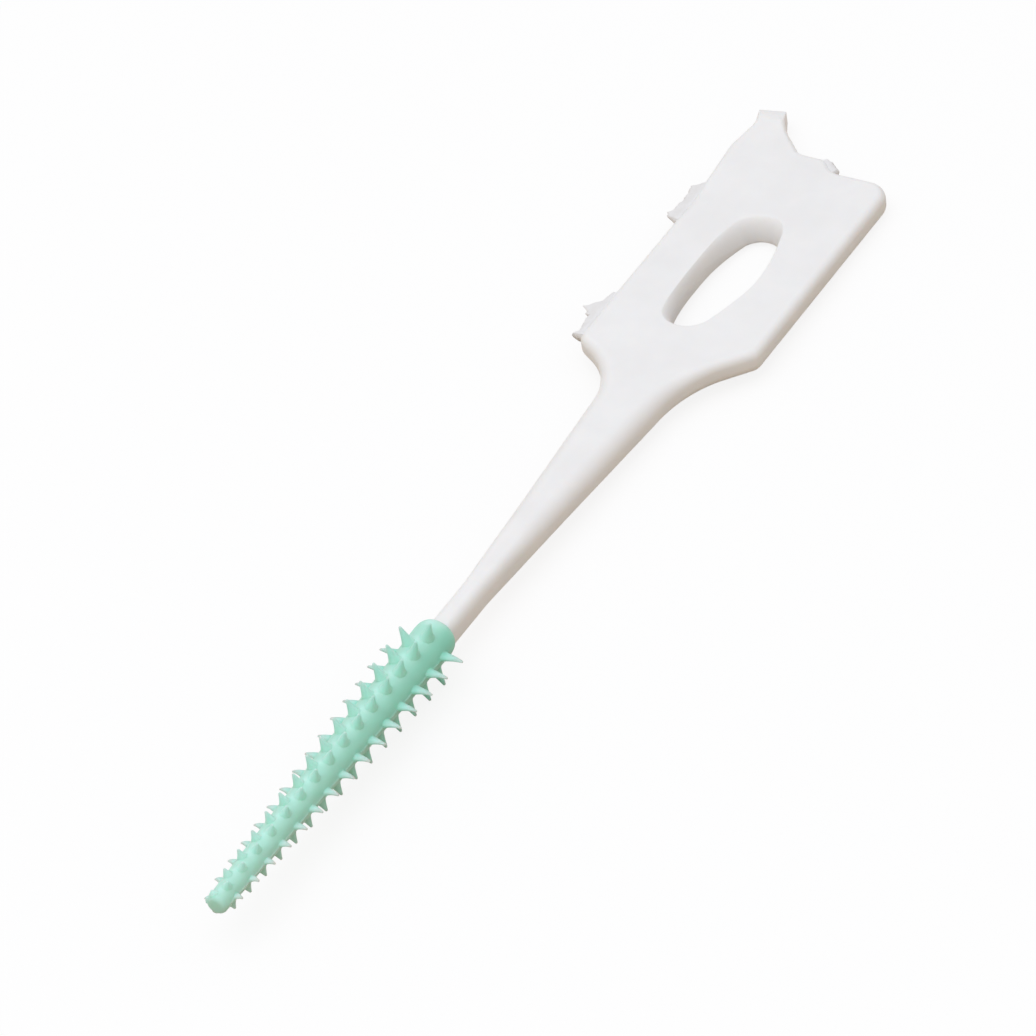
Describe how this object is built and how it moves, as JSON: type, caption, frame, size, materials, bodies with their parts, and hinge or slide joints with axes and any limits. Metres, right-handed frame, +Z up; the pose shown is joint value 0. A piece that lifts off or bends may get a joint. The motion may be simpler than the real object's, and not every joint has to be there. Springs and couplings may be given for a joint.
{
  "type": "interdental brush",
  "caption": "Slim metal-free interdental brush: a flat white handle with a lens-shaped hole and a tapering neck, ending in a soft green sleeve with rows of pointed spikes.",
  "frame": {"origin": "on the handle's lower flat face, on the centre line where the neck opens out into the paddle", "axes": "+X along the pick from the brush to the handle, +Z up, square to the flat handle, +Y to the left"},
  "size_m": [0.0653, 0.0107, 0.0042],
  "materials": {
    "handle_plastic": "matt moulded polypropylene",
    "sleeve_rubber": "satin translucent soft elastomer"
  },
  "bodies": {
    "root": {"handle": "handle_plastic", "brush_sleeve": "sleeve_rubber"}
  },
  "joints": []
}
